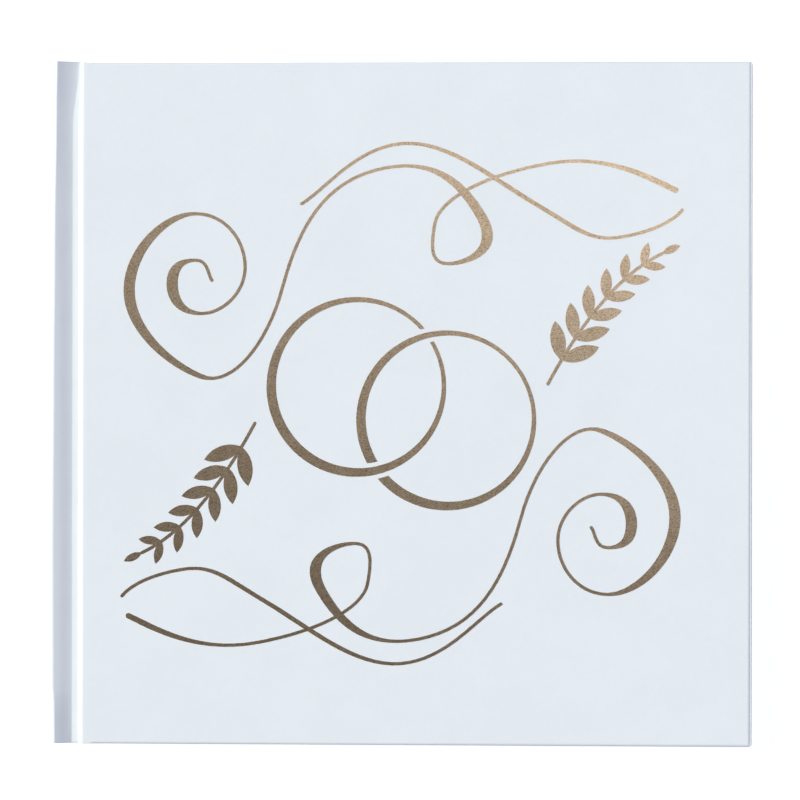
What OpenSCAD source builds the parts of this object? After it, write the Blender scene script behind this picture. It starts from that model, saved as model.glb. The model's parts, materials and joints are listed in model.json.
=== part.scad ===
// Square hardcover guest book: a printed-paper case over grey board, a sewn block of
// blank leaves, and a gold foil ornament on the front cover.
// Lengths in mm, +Z up. The closed book lies on its back cover: the spine is at -X, the
// fore-edge at +X, the head at +Y. The origin is under the middle of the back cover.
// "u" is a distance from the outer face of the spine towards the fore-edge.

/* [Case] */
// Width of the closed book, spine to fore-edge
book_w = 210; // [190:1:240]
// Height of the covers, tail to head
book_h = 205; // [190:1:240]
// Thickness of the grey board inside each cover
board_t = 2.0; // [2:0.1:3]
// Thickness of the covering paper
cover_paper_t = 0.25; // [0.2:0.01:0.25]
// Width of the covering paper folded over inside the covers
turn_in = 15; // [12:1:20]
// Distance from the spine's outer face to the edge of the boards
board_u = 9.6; // [9.2:0.1:11]

/* [Pages] */
// Thickness of one leaf
leaf_t = 0.18; // [0.12:0.01:0.18]
// Distance from one leaf to the next in the closed block
leaf_pitch = 0.21; // [0.21:0.01:0.24]
// How far the covers stand out past the leaves at head, tail and fore-edge
square = 3; // [2:0.5:4]
// Thickness of the pastedown glued inside each cover
pastedown_t = 0.2; // [0.15:0.01:0.2]

/* [Foil] */
// Height of the foil above the covering paper
foil_t = 0.04; // [0.03:0.01:0.1]
// Width of the pen's thinnest line
hairline = 1.0; // [0.8:0.1:1.2]
// Width of the pen's fullest stroke
swell = 3.4; // [2.8:0.1:3.6]

/* [Hidden] */
$fn = 48;

// Colours
paper_white = [0.88, 0.91, 0.94];
page_ivory = [0.96, 0.95, 0.92];
grey_board = [0.62, 0.60, 0.56];
kraft_brown = [0.72, 0.60, 0.44];
cotton_white = [0.93, 0.92, 0.88];
gold_foil = [0.78, 0.64, 0.48];

// Block: two flyleaves and three sections of three folded sheets
section_count = 3;
sheets_per_section = 3;
leaves_per_section = 2 * sheets_per_section;
leaf_count = section_count * leaves_per_section;
sheet_count = leaf_count + 2;
cover_t = board_t + 2 * cover_paper_t + pastedown_t;
block_t = sheet_count * leaf_pitch;
book_t = 2 * cover_t + block_t;
half_w = book_w / 2;
half_h = book_h / 2;
block_u1 = book_w - square;
block_half_h = half_h - square;

// Hinge lines of the two covers, inside the corners of the spine
hinge_u = 1.0;
hinge_z = 1.0;
hinge_gap = 0.05;
spine_end = 1.15;
// Inlay card, then the hollow, the lining, the mull and the sewing, from the outside in
inlay_t = 0.8;
inlay_u1 = cover_paper_t + inlay_t;
lining_u = 1.4;
lining_t = 0.2;
mull_t = 0.15;
thread_r = 0.12;
thread_play = 0.01;
thread_leg_r = thread_r - 0.02;
thread_outer_u = 1.88;
fold_u = 2.0;
leaf_fold_u = fold_u + sheets_per_section * leaf_pitch - (leaf_pitch - leaf_t);
thread_inner_u = leaf_fold_u + thread_r + 0.02;
// Leaves turn from here on; the strip nearer the fold stays with the spine
gutter = 14;
gutter_gap = 0.3;
// Sewing holes along each section
hole_ys = [-75, -45, -15, 15, 45, 75];
// How far the lining and the mull stop short of the leaves' ends
lining_inset = 9.5;
mull_inset = 7.5;
// Beaded bands: roll, place of the roll from the folds, tongue and fit
bead_r = 0.7;
bead_inset = 0.45;
band_fit = 0.05;
tongue_l = 6;
tongue_t = 0.18;
tongue_gap = 0.03;

// Joint groove between the spine and the board's edge
groove_d = board_t - 0.05;
groove_u0 = 5.7;
groove_u1 = 7.3;
lip_z = 0.15;
// Run of the paper round the board's near edge, outside and inside
shoulder_drop = 0.1;
shoulder_run = 0.3;
joint_play = 0.04;
inner_lead = 0.15;
inner_run = 0.1;
// Pastedown: where it starts, and the wall of its step down inside the turn-ins
paste_u0 = 6;
paste_lead = 1.4;
paste_clear = 0.5;
paste_wall = 0.5;
// Overshoot of a cut past what it cuts
over = 1;

// ---------------------------------------------------------------- placing helpers
// Box from u0 to u1, z0 to z1, reaching half_y each way along Y
module slab(u0, u1, half_y, z0, z1)
    translate([u0 - half_w, -half_y, z0]) cube([u1 - u0, 2 * half_y, z1 - z0]);

// Profile drawn in u and z, extruded from y0 to y1
module profile(points, y0, y1)
    translate([-half_w, y1, 0]) rotate([90, 0, 0])
        linear_extrude(y1 - y0) polygon(points);

// Same thing at the head and at the tail
module both_ends() { children(); mirror([0, 1, 0]) children(); }

// Turns a back-cover piece over into the matching front-cover piece
module as_front() translate([0, 0, book_t]) mirror([0, 0, 1]) children();

// ---------------------------------------------------------------- covers (drawn as the back one)
module cover_board() slab(board_u, book_w - cover_paper_t, half_h - cover_paper_t,
                          cover_paper_t, cover_paper_t + board_t);

// Covering paper: outer skin, joint strip, edges and turn-ins
module cover_paper() {
    p = cover_paper_t;
    inner_z = p + board_t;
    top_z = inner_z + p;
    strip_u = hinge_u + hinge_gap;
    joint_end_u = board_u - joint_play;
    shell = [
        [strip_u, lip_z], [groove_u0, groove_d], [groove_u1, groove_d],
        [board_u - p, shoulder_drop], [board_u + shoulder_run, 0], [book_w, 0], [book_w, top_z],
        [book_w - turn_in, top_z], [book_w - turn_in, inner_z], [book_w - p, inner_z],
        [book_w - p, p], [joint_end_u, p], [groove_u1 + inner_run, groove_d + p],
        [groove_u0 - inner_lead, groove_d + p], [strip_u, lip_z + p]
    ];
    joint_layer = [
        [strip_u, lip_z + p], [groove_u0 - inner_lead, groove_d + p],
        [groove_u1 + inner_run, groove_d + p],
        [board_u, inner_z], [board_u, top_z], [groove_u0 - 2 * inner_lead, groove_d + 2 * p],
        [strip_u, lip_z + 2 * p]
    ];
    joint_web = [
        [groove_u1 + inner_run, groove_d + p], [joint_end_u, p], [board_u, p], [board_u, inner_z]
    ];
    profile(shell, -half_h, half_h);
    both_ends() {
        profile(joint_layer, half_h - turn_in, half_h);
        profile(joint_web, half_h - p, half_h);
        translate([board_u - half_w, half_h - turn_in, inner_z])
            cube([book_w - board_u, turn_in, p]);
        translate([board_u - half_w, half_h - p, 0]) cube([book_w - board_u, p, top_z]);
    }
}

// Pastedown: lies on the turn-ins at its edges and sinks to the board inside them
module pastedown() {
    top_z = cover_t;
    step = cover_paper_t;
    wall = paste_wall;
    dip_u0 = board_u + paste_lead;
    dip_u1 = book_w - turn_in - paste_clear;
    dip_half = half_h - turn_in - paste_clear;
    difference() {
        slab(paste_u0, block_u1, block_half_h, top_z - pastedown_t - step, top_z);
        slab(dip_u0 + wall, dip_u1 - wall, dip_half - wall, top_z - step, top_z + over);
        difference() {
            slab(paste_u0 - over, block_u1 + over, block_half_h + over, 0, top_z - pastedown_t);
            slab(dip_u0, dip_u1, dip_half, -over, top_z);
        }
    }
}

module back_board() color(grey_board) cover_board();
module front_board() color(grey_board) as_front() cover_board();
module back_cover_paper() color(paper_white) cover_paper();
module front_cover_paper() color(paper_white) as_front() cover_paper();
module back_pastedown() color(page_ivory) pastedown();
module front_pastedown() color(page_ivory) as_front() pastedown();

// ---------------------------------------------------------------- spine
// Covering paper of the spine, folded over the card at head and tail
module spine_paper() color(paper_white) {
    p = cover_paper_t;
    slab(0, p, half_h, hinge_z + hinge_gap, book_t - hinge_z - hinge_gap);
    both_ends() {
        translate([-half_w, half_h - p, spine_end]) cube([inlay_u1 + p, p, book_t - 2 * spine_end]);
        translate([inlay_u1 - half_w, half_h - turn_in, spine_end])
            cube([p, turn_in, book_t - 2 * spine_end]);
    }
}

module spine_inlay() color(grey_board)
    slab(cover_paper_t, inlay_u1, half_h - cover_paper_t, spine_end, book_t - spine_end);

module spine_lining() color(kraft_brown)
    slab(lining_u, lining_u + lining_t, block_half_h - lining_inset, cover_t, book_t - cover_t);

module mull() color(cotton_white)
    slab(lining_u + lining_t, lining_u + lining_t + mull_t, block_half_h - mull_inset,
         cover_t, book_t - cover_t);

// Beaded band: a rolled bead on the block's end with a tongue glued under it
module band() {
    tongue_u = lining_u + lining_t + mull_t + tongue_gap;
    band_z0 = cover_t + band_fit;
    translate([fold_u + bead_inset - half_w, block_half_h + bead_r + band_fit, band_z0])
        cylinder(r = bead_r, h = book_t - 2 * band_z0);
    translate([tongue_u - half_w, block_half_h - tongue_l, band_z0])
        cube([tongue_t, tongue_l + bead_r, book_t - 2 * band_z0]);
}
module headband() color(cotton_white) band();
module tailband() color(cotton_white) mirror([0, 1, 0]) band();

// ---------------------------------------------------------------- block
// Middle height of sheet i, counted from the back flyleaf (0) up to the front flyleaf
function sheet_z(i) = cover_t + (i + 0.5) * leaf_pitch;
// Sheet of leaf n, counted from the front of the book
function leaf_sheet(n) = sheet_count - 1 - n;
// Middle height of section s, counted from the front of the book
function middle_leaf(s) = (s - 1) * leaves_per_section + sheets_per_section;
function section_z(s) = (sheet_z(leaf_sheet(middle_leaf(s)))
                         + sheet_z(leaf_sheet(middle_leaf(s) + 1))) / 2;

// The turning part of a sheet
module turning_leaf(sheet)
    slab(leaf_fold_u + gutter, block_u1, block_half_h,
         sheet_z(sheet) - leaf_t / 2, sheet_z(sheet) + leaf_t / 2);

// One folded sheet's inner strip: two limbs joined by a fold, nested by its depth
module folded_strip(z, depth) {
    reach = (depth + 0.5) * leaf_pitch;
    u0 = fold_u + (sheets_per_section - 1 - depth) * leaf_pitch;
    difference() {
        slab(u0, leaf_fold_u + gutter - gutter_gap, block_half_h,
             z - reach - leaf_t / 2, z + reach + leaf_t / 2);
        slab(u0 + leaf_t, leaf_fold_u + gutter, block_half_h + over,
             z - reach + leaf_t / 2, z + reach - leaf_t / 2);
    }
}

// Running stitch of one section, in and out along its fold; its legs are pulled thinner
module thread_run(z, play = 0) {
    r = thread_r + play;
    for (i = [0 : len(hole_ys) - 2])
        translate([(i % 2 == 0 ? thread_inner_u : thread_outer_u) - half_w, hole_ys[i] - r, z])
            rotate([-90, 0, 0]) cylinder(r = r, h = hole_ys[i + 1] - hole_ys[i] + 2 * r);
    for (y = hole_ys) translate([thread_outer_u - half_w, y, z]) rotate([0, 90, 0])
        cylinder(r = thread_leg_r + play, h = thread_inner_u - thread_outer_u);
}

module section_folds(s) color(page_ivory) difference() {
    for (depth = [0 : sheets_per_section - 1]) folded_strip(section_z(s), depth);
    thread_run(section_z(s), thread_play);
}
module section_thread(s) color(cotton_white) thread_run(section_z(s));

module endpaper_fold(sheet) color(page_ivory)
    slab(fold_u, leaf_fold_u + gutter - gutter_gap, block_half_h,
         sheet_z(sheet) - leaf_t / 2, sheet_z(sheet) + leaf_t / 2);

module leaf(n) color(page_ivory) turning_leaf(leaf_sheet(n));
module front_flyleaf() color(page_ivory) turning_leaf(sheet_count - 1);
module back_flyleaf() color(page_ivory) turning_leaf(0);

// ---------------------------------------------------------------- foil ornament
// A pen stroke is a list of knots [x, y, heading in degrees, reach of the curve].
// Going down the pen opens from its hairline to its swell, as a pointed nib does.
stroke_steps = 16;
pen_bias = 1.4;
cap_grow = 1.002;
function heading(a) = [cos(a), sin(a)];
function bezier(a, b, c, d, t) = pow(1 - t, 3) * a + 3 * pow(1 - t, 2) * t * b
    + 3 * (1 - t) * t * t * c + t * t * t * d;
function slope(a, b, c, d, t) = pow(1 - t, 2) * (b - a) + 2 * (1 - t) * t * (c - b)
    + t * t * (d - c);
function unit(v) = v / norm(v);
function left(v) = [-v[1], v[0]];
function pen_w(dir, press) =
    hairline + (swell * press - hairline) * pow(max(0, -dir[1]), pen_bias);

// Centre line and directions along the whole stroke
function ctrl_out(k) = [k[0], k[1]] + k[3] * heading(k[2]);
function ctrl_in(k) = [k[0], k[1]] - k[3] * heading(k[2]);
function along(k0, k1, t) = bezier([k0[0], k0[1]], ctrl_out(k0), ctrl_in(k1), [k1[0], k1[1]], t);
function facing(k0, k1, t) = unit(slope([k0[0], k0[1]], ctrl_out(k0), ctrl_in(k1), [k1[0], k1[1]], t));

// Ribbon along all the knots, with a round cap at each end; it must not cross itself
module pen_stroke(knots, press = 1) {
    spans = len(knots) - 1;
    ts = [for (s = [0 : spans - 1]) for (i = [s == 0 ? 0 : 1 : stroke_steps]) [s, i / stroke_steps]];
    centre = [for (st = ts) along(knots[st[0]], knots[st[0] + 1], st[1])];
    dirs = [for (st = ts) facing(knots[st[0]], knots[st[0] + 1], st[1])];
    side = [for (d = dirs) left(d) * pen_w(d, press) / 2];
    last = len(ts) - 1;
    polygon(concat([for (i = [0 : last]) centre[i] + side[i]],
                   [for (i = [last : -1 : 0]) centre[i] - side[i]]));
    for (i = [0, last]) translate(centre[i]) circle(d = pen_w(dirs[i], press) * cap_grow, $fn = 24);
}

// Same strokes, and the same again turned half round
module turned_pair() { children(); rotate(180) children(); }

// Leaf of a sprig: a lens where two circles cross, its stalk end at the origin
module sprig_leaf(length, width) {
    r = (length * length / 4 + width * width / 4) / width;
    translate([length / 2, 0]) intersection() {
        translate([0, r - width / 2]) circle(r = r, $fn = 64);
        translate([0, width / 2 - r]) circle(r = r, $fn = 64);
    }
}

// Wedding ring drawn with a pen: full on one side, fine on the other
ring_r = 27;
ring_offset = 13.5;
ring_rise = 5;
ring_gap = 1.3;
ring_turn = 35;
ring_fine = 1.2;
ring_shift = 0.9;
module pen_ring(grow = 0) rotate(ring_turn) difference() {
    circle(r = ring_r + grow, $fn = 96);
    translate([ring_shift, 0]) circle(r = ring_r - ring_fine - ring_shift - grow, $fn = 96);
}

// Two rings linked through each other, each cut back where it passes under
crossing = [10, 25];
crossing_r = 10;
module rings_2d() {
    right_ring = [ring_offset, -ring_rise];
    difference() {
        translate(-right_ring) pen_ring();
        intersection() {
            translate(right_ring) pen_ring(ring_gap);
            translate(crossing) circle(crossing_r);
        }
    }
    difference() {
        translate(right_ring) pen_ring();
        intersection() {
            translate(-right_ring) pen_ring(ring_gap);
            translate(-crossing) circle(crossing_r);
        }
    }
}

// Long swash over the rings: a curl, a rise, and a loop that its tail passes through
swash_rise = [
    [-57, 37, 130, 2], [-62, 43, 180, 4], [-69, 36, 270, 5], [-60, 27, 0, 6], [-47, 41, 90, 8],
    [-62, 57, 180, 9], [-82, 34, 270, 12], [-60, 8, 340, 10], [-36, 34, 75, 16],
    [-8, 70, 15, 18], [24, 56, 300, 12], [14, 42, 180, 5]
];
swash_tail = [[14, 42, 180, 5], [10, 54, 80, 8], [44, 72, 10, 18], [82, 64, 335, 8]];
// Fine line that shadows the swash
shadow_press = 0.55;
shadow_line = [[-30, 60, 30, 8], [0, 78, 5, 14], [40, 60, 330, 14], [66, 50, 10, 10], [84, 58, 50, 4]];

module flourishes_2d() turned_pair() {
    pen_stroke(swash_rise);
    pen_stroke(swash_tail);
    pen_stroke(shadow_line, shadow_press);
}

// Leafy sprig along a stem curve
sprig_root = [44, 6, 62, 16];
sprig_tip = [78, 45, 25, 16];
sprig_pairs = 6;
stem_press = 0.5;
leaf_start = 0.16;
leaf_every = 0.14;
sprig_leaf_l = 12;
sprig_leaf_slim = 0.38;
sprig_leaf_lean = 40;
module sprigs_2d() turned_pair() {
    pen_stroke([sprig_root, sprig_tip], stem_press);
    for (i = [0 : sprig_pairs]) {
        t = leaf_start + i * leaf_every;
        dir = facing(sprig_root, sprig_tip, t);
        length = sprig_leaf_l - i;
        translate(along(sprig_root, sprig_tip, t)) rotate(atan2(dir[1], dir[0]))
            for (side = i < sprig_pairs ? [-1, 1] : [0])
                rotate(side * sprig_leaf_lean) sprig_leaf(length, length * sprig_leaf_slim);
    }
}

module stamp() translate([0, 0, book_t]) linear_extrude(foil_t) children();
module foil_rings() color(gold_foil) stamp() rings_2d();
module foil_flourishes() color(gold_foil) stamp() flourishes_2d();
module foil_sprigs() color(gold_foil) stamp() sprigs_2d();

back_board();
back_cover_paper();
back_pastedown();
front_board();
front_cover_paper();
front_pastedown();
spine_paper();
spine_inlay();
spine_lining();
mull();
headband();
tailband();
section_folds(1);  // section_1_folds
section_folds(2);  // section_2_folds
section_folds(3);  // section_3_folds
section_thread(1);  // section_1_thread
section_thread(2);  // section_2_thread
section_thread(3);  // section_3_thread
endpaper_fold(sheet_count - 1);  // front_endpaper_fold
endpaper_fold(0);  // back_endpaper_fold
front_flyleaf();
back_flyleaf();
leaf(1);  // leaf_01
leaf(2);  // leaf_02
leaf(3);  // leaf_03
leaf(4);  // leaf_04
leaf(5);  // leaf_05
leaf(6);  // leaf_06
leaf(7);  // leaf_07
leaf(8);  // leaf_08
leaf(9);  // leaf_09
leaf(10);  // leaf_10
leaf(11);  // leaf_11
leaf(12);  // leaf_12
leaf(13);  // leaf_13
leaf(14);  // leaf_14
leaf(15);  // leaf_15
leaf(16);  // leaf_16
leaf(17);  // leaf_17
leaf(18);  // leaf_18
foil_rings();
foil_flourishes();
foil_sprigs();
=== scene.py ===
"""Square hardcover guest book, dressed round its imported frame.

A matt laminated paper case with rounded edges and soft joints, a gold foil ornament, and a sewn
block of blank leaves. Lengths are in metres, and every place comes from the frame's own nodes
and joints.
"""
import json
import logging
import math
import random
from dataclasses import dataclass
from enum import Enum
from typing import Callable, Iterable, Sequence

import bmesh
import bpy
from mathutils import Matrix, Vector


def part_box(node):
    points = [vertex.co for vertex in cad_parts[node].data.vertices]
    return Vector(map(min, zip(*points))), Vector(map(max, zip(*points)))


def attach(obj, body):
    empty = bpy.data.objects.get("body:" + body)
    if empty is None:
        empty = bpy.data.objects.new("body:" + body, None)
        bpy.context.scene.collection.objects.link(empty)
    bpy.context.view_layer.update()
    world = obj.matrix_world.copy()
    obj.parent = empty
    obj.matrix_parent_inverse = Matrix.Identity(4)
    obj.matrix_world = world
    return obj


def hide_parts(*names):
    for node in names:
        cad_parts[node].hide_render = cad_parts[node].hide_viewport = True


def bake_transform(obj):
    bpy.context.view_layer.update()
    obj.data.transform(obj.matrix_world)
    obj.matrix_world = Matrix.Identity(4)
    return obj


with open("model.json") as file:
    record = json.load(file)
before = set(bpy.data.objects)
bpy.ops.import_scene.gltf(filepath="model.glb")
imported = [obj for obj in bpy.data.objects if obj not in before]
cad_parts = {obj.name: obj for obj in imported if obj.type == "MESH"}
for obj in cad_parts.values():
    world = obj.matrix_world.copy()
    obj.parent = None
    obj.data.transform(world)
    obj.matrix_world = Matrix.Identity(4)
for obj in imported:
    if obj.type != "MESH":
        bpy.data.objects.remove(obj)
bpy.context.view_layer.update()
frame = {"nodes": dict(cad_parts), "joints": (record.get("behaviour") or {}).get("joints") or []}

MM = 0.001
SEED = 11
TOUCH = 1e-6
CLOSEST_CUTS = 0.05 * MM
# Places along the spine from tail to head, and how far the paper stands out there
SPINE_SWELL = ((0.0, 0.34 * MM), (0.06, 0.38 * MM), (0.085, 0.86 * MM), (0.28, 1.02 * MM),
               (0.52, 0.76 * MM), (0.76, 0.42 * MM), (0.92, -0.08 * MM), (1.0, -0.42 * MM))
Colour = tuple[float, float, float]
log = logging.getLogger("guest_book")


# ---------------------------------------------------------------- sizes


class Side(Enum):
    """The two covers, and the ends of the block that they lie on."""

    FRONT = "front"
    BACK = "back"


@dataclass(frozen=True)
class BookSizes:
    """Sizes read from the frame, shared by every sub-assembly.

    Attributes:
        spine_x: Outer face of the spine.
        fore_x: Fore-edge of the covers.
        half_y: Half the height of the covers.
        top_z: Outer face of the front cover.
        board_x: Spine-side edge of the boards.
        wrap_t: Thickness of a board with its covering paper on both faces.
        cover_t: Thickness of a whole cover, pastedown included.
        paper_t: Thickness of the covering paper.
        page_x: Fore-edge of the leaves.
        page_half_y: Half the height of the leaves.
        fold_x: Fold lines of the leaves, seen from above.
        turn_in: Width of the covering paper folded over inside a cover.
        turn_in_ramp: Width of the step at the edge of the turn-ins.
        head_pull: Length over which the case's paper is drawn past the boards at the head.
    """

    spine_x: float
    fore_x: float
    half_y: float
    top_z: float
    board_x: float
    wrap_t: float
    cover_t: float
    paper_t: float
    page_x: float
    page_half_y: float
    fold_x: float
    turn_in: float = 15 * MM
    turn_in_ramp: float = 2 * MM
    head_pull: float = 8 * MM

    @staticmethod
    def from_frame() -> "BookSizes":
        """Reads the sizes from the CAD nodes and joints.

        Returns:
            The book's sizes.
        """
        paper_low, paper_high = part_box("front_cover_paper")
        board_low, board_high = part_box("front_board")
        paste_low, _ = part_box("front_pastedown")
        _, leaf_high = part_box("leaf_01")
        turn = next(joint for joint in frame["joints"] if joint["name"] == "turn_leaf_01")
        return BookSizes(
            spine_x=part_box("spine_paper")[0].x,
            fore_x=paper_high.x,
            half_y=paper_high.y,
            top_z=paper_high.z,
            board_x=board_low.x,
            wrap_t=paper_high.z - paper_low.z,
            cover_t=paper_high.z - paste_low.z,
            paper_t=paper_high.z - board_high.z,
            page_x=leaf_high.x,
            page_half_y=leaf_high.y,
            fold_x=turn["pos_m"][0],
        )

    def at(self, u: float) -> float:
        """X of a point u metres from the outer face of the spine."""
        return self.spine_x + u

    def height(self, side: Side, depth: float) -> float:
        """Z of a point depth metres inwards from that cover's outer face."""
        return self.top_z - depth if side is Side.FRONT else depth

    def end_zone(self, y: float) -> float:
        """0 along the middle of the book and 1 over the turn-ins at head and tail."""
        start = self.half_y - self.turn_in - self.turn_in_ramp / 2
        return ramp(abs(y), start, start + self.turn_in_ramp)

    def head_ramp(self, y: float) -> float:
        """0 along the book and 1 at its head."""
        return ramp(y, self.half_y - self.head_pull, self.half_y)

    def spine_swell(self, y: float) -> float:
        """How far the spine's paper stands out of its plane: most below the middle, least at
        the head, where it is drawn in over the turn-in.

        Args:
            y: Place along the spine.

        Returns:
            The distance that it stands out.
        """
        along = (y + self.half_y) / (2 * self.half_y)
        for (a0, s0), (a1, s1) in zip(SPINE_SWELL, SPINE_SWELL[1:]):
            if along <= a1:
                return s0 + (s1 - s0) * ramp(along, a0, a1)
        return SPINE_SWELL[-1][1]


def ramp(value: float, start: float, stop: float) -> float:
    """Smooth step: 0 up to start, and 1 from stop on."""
    t = min(max((value - start) / (stop - start), 0.0), 1.0)
    return t * t * (3 - 2 * t)


# ---------------------------------------------------------------- node groups


class NodeBench:
    """Adds nodes to one node tree and wires them up."""

    def __init__(self, tree: bpy.types.NodeTree) -> None:
        """Takes the tree to work on."""
        self.tree = tree

    def add(self, kind: str, inputs: dict | None = None, **settings: object) -> bpy.types.Node:
        """Makes one node.

        Args:
            kind: Node type without its ShaderNode prefix.
            inputs: Socket name or number to a value, or to a socket to link from.
            **settings: Properties of the node itself.

        Returns:
            The new node.
        """
        node = self.tree.nodes.new(f"ShaderNode{kind}")
        for key, value in settings.items():
            setattr(node, key, value)
        for key, value in (inputs or {}).items():
            self.feed(node.inputs[key], value)
        return node

    def feed(self, socket: bpy.types.NodeSocket, value: object) -> None:
        """Links another socket to this one, or sets its own value.

        Args:
            socket: The input to feed.
            value: A socket, or a plain value.
        """
        if isinstance(value, bpy.types.NodeSocket):
            self.tree.links.new(value, socket)
        else:
            socket.default_value = value

    def noise(self, vector: bpy.types.NodeSocket, scale: object, detail: float = 4.0,
              rough: float = 0.55) -> bpy.types.NodeSocket:
        """Noise value from 0 to 1 at the given vector.

        Args:
            vector: Where the noise is read.
            scale: How fine it is, as a value or a socket.
            detail: How many finer layers it has.
            rough: How strong they are.

        Returns:
            The noise's value.
        """
        node = self.add("TexNoise", {"Vector": vector, "Scale": scale, "Detail": detail,
                                     "Roughness": rough})
        return node.outputs["Fac"]

    def maths(self, operation: str, first: object, second: object = 0.0) -> bpy.types.NodeSocket:
        """Result of one arithmetic step."""
        return self.add("Math", {0: first, 1: second}, operation=operation).outputs[0]

    def spread(self, value: object, low: float, high: float, to_low: float = 0.0,
               to_high: float = 1.0) -> bpy.types.NodeSocket:
        """Value stretched from the range low to high onto to_low to to_high, and held there."""
        return self.add("MapRange", {"Value": value, "From Min": low, "From Max": high,
                                     "To Min": to_low, "To Max": to_high}).outputs["Result"]

    def blend_colours(self, fac: object, first: object, second: object) -> bpy.types.NodeSocket:
        """Colour between first at 0 and second at 1.

        Args:
            fac: Share of the second colour.
            first: A colour or a socket.
            second: A colour or a socket.

        Returns:
            The blended colour.
        """
        node = self.add("Mix", data_type="RGBA")
        for key, value in ((0, fac), (6, first), (7, second)):
            self.feed(node.inputs[key], value)
        return node.outputs[2]

    def stretched(self, vector: bpy.types.NodeSocket, scale: Sequence[float]) -> bpy.types.NodeSocket:
        """The vector with each axis scaled by its own number."""
        return self.add("Mapping", {"Vector": vector, "Scale": scale}).outputs["Vector"]


def rgba(colour: Colour) -> tuple[float, float, float, float]:
    """The colour with full alpha."""
    return (*colour, 1.0)


class EffectGroup:
    """A shader node group with named sockets, built once and shared by several finishes."""

    def __init__(self, name: str, inputs: dict[str, str], outputs: dict[str, str],
                 wire: Callable[[NodeBench, dict], dict]) -> None:
        """Builds the group.

        Args:
            name: The group's name.
            inputs: Input name to socket type, such as Float, Vector or Color.
            outputs: Output name to socket type.
            wire: Takes the bench and the group's input sockets by name, and returns the sockets
                that feed its outputs by name.
        """
        self.tree = bpy.data.node_groups.new(name, "ShaderNodeTree")
        for label, kind in inputs.items():
            self.tree.interface.new_socket(label, in_out="INPUT", socket_type=f"NodeSocket{kind}")
        for label, kind in outputs.items():
            self.tree.interface.new_socket(label, in_out="OUTPUT", socket_type=f"NodeSocket{kind}")
        entry = self.tree.nodes.new("NodeGroupInput")
        result = self.tree.nodes.new("NodeGroupOutput")
        made = wire(NodeBench(self.tree), {label: entry.outputs[label] for label in inputs})
        for label in outputs:
            self.tree.links.new(made[label], result.inputs[label])

    def place(self, bench: NodeBench, values: dict) -> bpy.types.Node:
        """Puts the group into a material with its own values.

        Args:
            bench: Bench on the material's tree.
            values: Input name to a value or a socket.

        Returns:
            The group's node.
        """
        node = bench.add("Group", node_tree=self.tree)
        for label, value in values.items():
            bench.feed(node.inputs[label], value)
        return node


def wire_mottle(bench: NodeBench, given: dict) -> dict:
    """Two close colours, clouded into each other at two scales.

    Args:
        bench: Bench on the group's tree.
        given: The group's input sockets by name.

    Returns:
        The mask and the colour to put out.
    """
    cloud_share, fine_share, finer = 0.65, 0.35, 14.0
    cloud = bench.noise(given["Vector"], given["Scale"], detail=3.0)
    fine = bench.noise(given["Vector"], bench.maths("MULTIPLY", given["Scale"], finer), detail=2.0)
    both = bench.maths("ADD", bench.maths("MULTIPLY", cloud, cloud_share),
                       bench.maths("MULTIPLY", fine, fine_share))
    mask = bench.spread(both, 0.38, 0.62)
    return {"Mask": mask, "Colour": bench.blend_colours(mask, given["First"], given["Second"])}


def wire_fibre(bench: NodeBench, given: dict) -> dict:
    """Height of felted paper: short fibres lying two ways over a soft formation cloud.

    Args:
        bench: Bench on the group's tree.
        given: The group's input sockets by name.

    Returns:
        The height to put out.
    """
    along_share, across_share, cloud_share, coarser = 0.4, 0.35, 0.25, 0.08
    along = bench.noise(bench.stretched(given["Vector"], (1.0, 5.0, 3.0)), given["Scale"], 3.0)
    across = bench.noise(bench.stretched(given["Vector"], (4.0, 1.0, 3.0)), given["Scale"], 3.0)
    cloud = bench.noise(given["Vector"], bench.maths("MULTIPLY", given["Scale"], coarser), 2.0)
    sheet = bench.maths("ADD", bench.maths("MULTIPLY", along, along_share),
                        bench.maths("MULTIPLY", across, across_share))
    return {"Height": bench.maths("ADD", sheet, bench.maths("MULTIPLY", cloud, cloud_share))}


def wire_grain(bench: NodeBench, given: dict) -> dict:
    """Height and speckle of a pebbled grain, drawn out a little across the sheet.

    Args:
        bench: Bench on the group's tree.
        given: The group's input sockets by name.

    Returns:
        The height and the speckle to put out.
    """
    vector = bench.stretched(given["Vector"], (1.0, 1.8, 1.0))
    cell_share, drift_share, coarser = 0.5, 0.6, 0.7
    cells = bench.add("TexVoronoi", {"Vector": vector, "Scale": given["Scale"]},
                      feature="F1").outputs["Distance"]
    drift = bench.noise(vector, bench.maths("MULTIPLY", given["Scale"], coarser), 3.0, 0.7)
    height = bench.maths("ADD", bench.maths("MULTIPLY", cells, cell_share),
                         bench.maths("MULTIPLY", bench.spread(drift, 0.3, 0.7), drift_share))
    return {"Height": height, "Speckle": bench.spread(height, 0.25, 0.85)}


def wire_weave(bench: NodeBench, given: dict) -> dict:
    """Over-and-under threads running two ways in the plane of Y and Z.

    Args:
        bench: Bench on the group's tree.
        given: The group's input sockets by name.

    Returns:
        The height and the gaps to put out.
    """
    across = bench.add("TexWave", {"Vector": given["Vector"], "Scale": given["Scale"]},
                       bands_direction="Y").outputs["Fac"]
    down = bench.add("TexWave", {"Vector": given["Vector"], "Scale": given["Scale"]},
                     bands_direction="Z").outputs["Fac"]
    height = bench.maths("MAXIMUM", across, down)
    return {"Height": height, "Gap": bench.spread(height, 0.15, 0.45)}


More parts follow.
